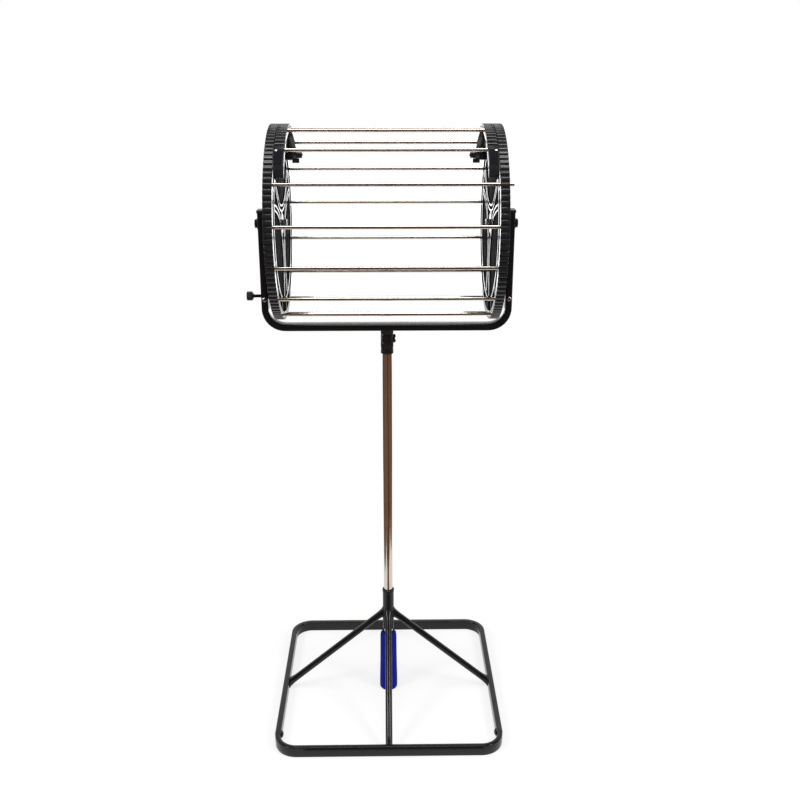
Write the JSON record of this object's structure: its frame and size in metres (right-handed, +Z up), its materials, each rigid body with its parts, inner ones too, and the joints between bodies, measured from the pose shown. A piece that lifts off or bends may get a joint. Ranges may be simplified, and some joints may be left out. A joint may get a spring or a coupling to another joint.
{
  "type": "tennis ball hopper",
  "caption": "Rolling ball pick-up drum of steel rods between treaded wheels, carried by a yoke and pole and stood upside down in a square floor stand.",
  "frame": {"origin": "on the floor, at the centre of the grip's flat end, under the pole", "axes": "+Z up along the pole, +X along the drum's axle to the side without the lock knob, -Y towards the viewer"},
  "size_m": [0.4437, 0.3992, 1.0385],
  "materials": {
    "stand_paint": "gloss black powder coat",
    "yoke_paint": "gloss black powder coat",
    "polished_steel": "polished stainless steel",
    "zinc_steel": "bright zinc plate",
    "black_steel": "blackened steel, semi-gloss",
    "wheel_plastic": "moulded black, semi-gloss",
    "trim_plastic": "moulded black",
    "grip_vinyl": "royal blue vinyl, soft gloss"
  },
  "bodies": {
    "stand": {"base_rear": "stand_paint", "base_front": "stand_paint", "base_screw_left": "stand_paint", "base_screw_right": "stand_paint", "strut_front": "stand_paint", "strut_left": "stand_paint", "strut_right": "stand_paint", "strut_rear": "stand_paint", "stand_collar": "stand_paint", "collar_bush": "trim_plastic"},
    "carrier": {"pole_tube": "polished_steel", "pole_plug": "trim_plastic", "pole_grip": "grip_vinyl", "yoke_frame": "yoke_paint", "yoke_socket": "yoke_paint", "socket_nut": "yoke_paint", "socket_wing_screw": "yoke_paint", "lock_nut": "zinc_steel", "arm_cap_left": "trim_plastic", "yoke_screw_left": "zinc_steel", "axle_bolt_left": "black_steel", "axle_washer_left": "black_steel", "axle_spacer_left": "trim_plastic", "axle_nut_left": "zinc_steel", "arm_cap_right": "trim_plastic", "yoke_screw_right": "zinc_steel", "axle_bolt_right": "black_steel", "axle_washer_right": "black_steel", "axle_spacer_right": "trim_plastic", "axle_nut_right": "zinc_steel"},
    "lock": {"lock_stem": "black_steel", "lock_knob": "trim_plastic"},
    "drum": {"wheel_left": "wheel_plastic", "wheel_right": "wheel_plastic", "hub_bush_left": "trim_plastic", "hub_bush_right": "trim_plastic", "hinge_pin_left": "zinc_steel", "hinge_pin_right": "zinc_steel", "drum_rod_1": "polished_steel", "drum_rod_2": "polished_steel", "drum_rod_3": "polished_steel", "drum_rod_4": "polished_steel", "drum_rod_5": "polished_steel", "drum_rod_6": "polished_steel", "drum_rod_7": "polished_steel", "drum_rod_8": "polished_steel", "drum_rod_9": "polished_steel", "drum_rod_10": "polished_steel", "drum_rod_11": "polished_steel"},
    "door": {"door_arc_left": "wheel_plastic", "door_arc_right": "wheel_plastic", "door_spring_left": "zinc_steel", "door_spring_right": "zinc_steel", "door_rod_1": "polished_steel", "door_rod_2": "polished_steel", "door_rod_3": "polished_steel", "door_rod_4": "polished_steel"}
  },
  "joints": [
    {"name": "pole_swivel", "type": "hinge", "parent": "stand", "child": "carrier", "pos_m": [0, 0, 0.2], "axis": [0, 0, 1], "continuous": true},
    {"name": "drum_roll", "type": "hinge", "parent": "carrier", "child": "drum", "pos_m": [0, 0, 0.884], "axis": [1, 0, 0], "continuous": true},
    {"name": "door_swing", "type": "hinge", "parent": "drum", "child": "door", "pos_m": [0, 0.106, 0.9835], "axis": [-1, 0, 0], "range_deg": [0, 110], "stiffness_Nm_per_rad": 0.5, "springref_deg": -68.75},
    {"name": "lock_travel", "type": "slide", "parent": "carrier", "child": "lock", "axis": [-1, 0, 0], "range_m": [0, 0.012]}
  ]
}
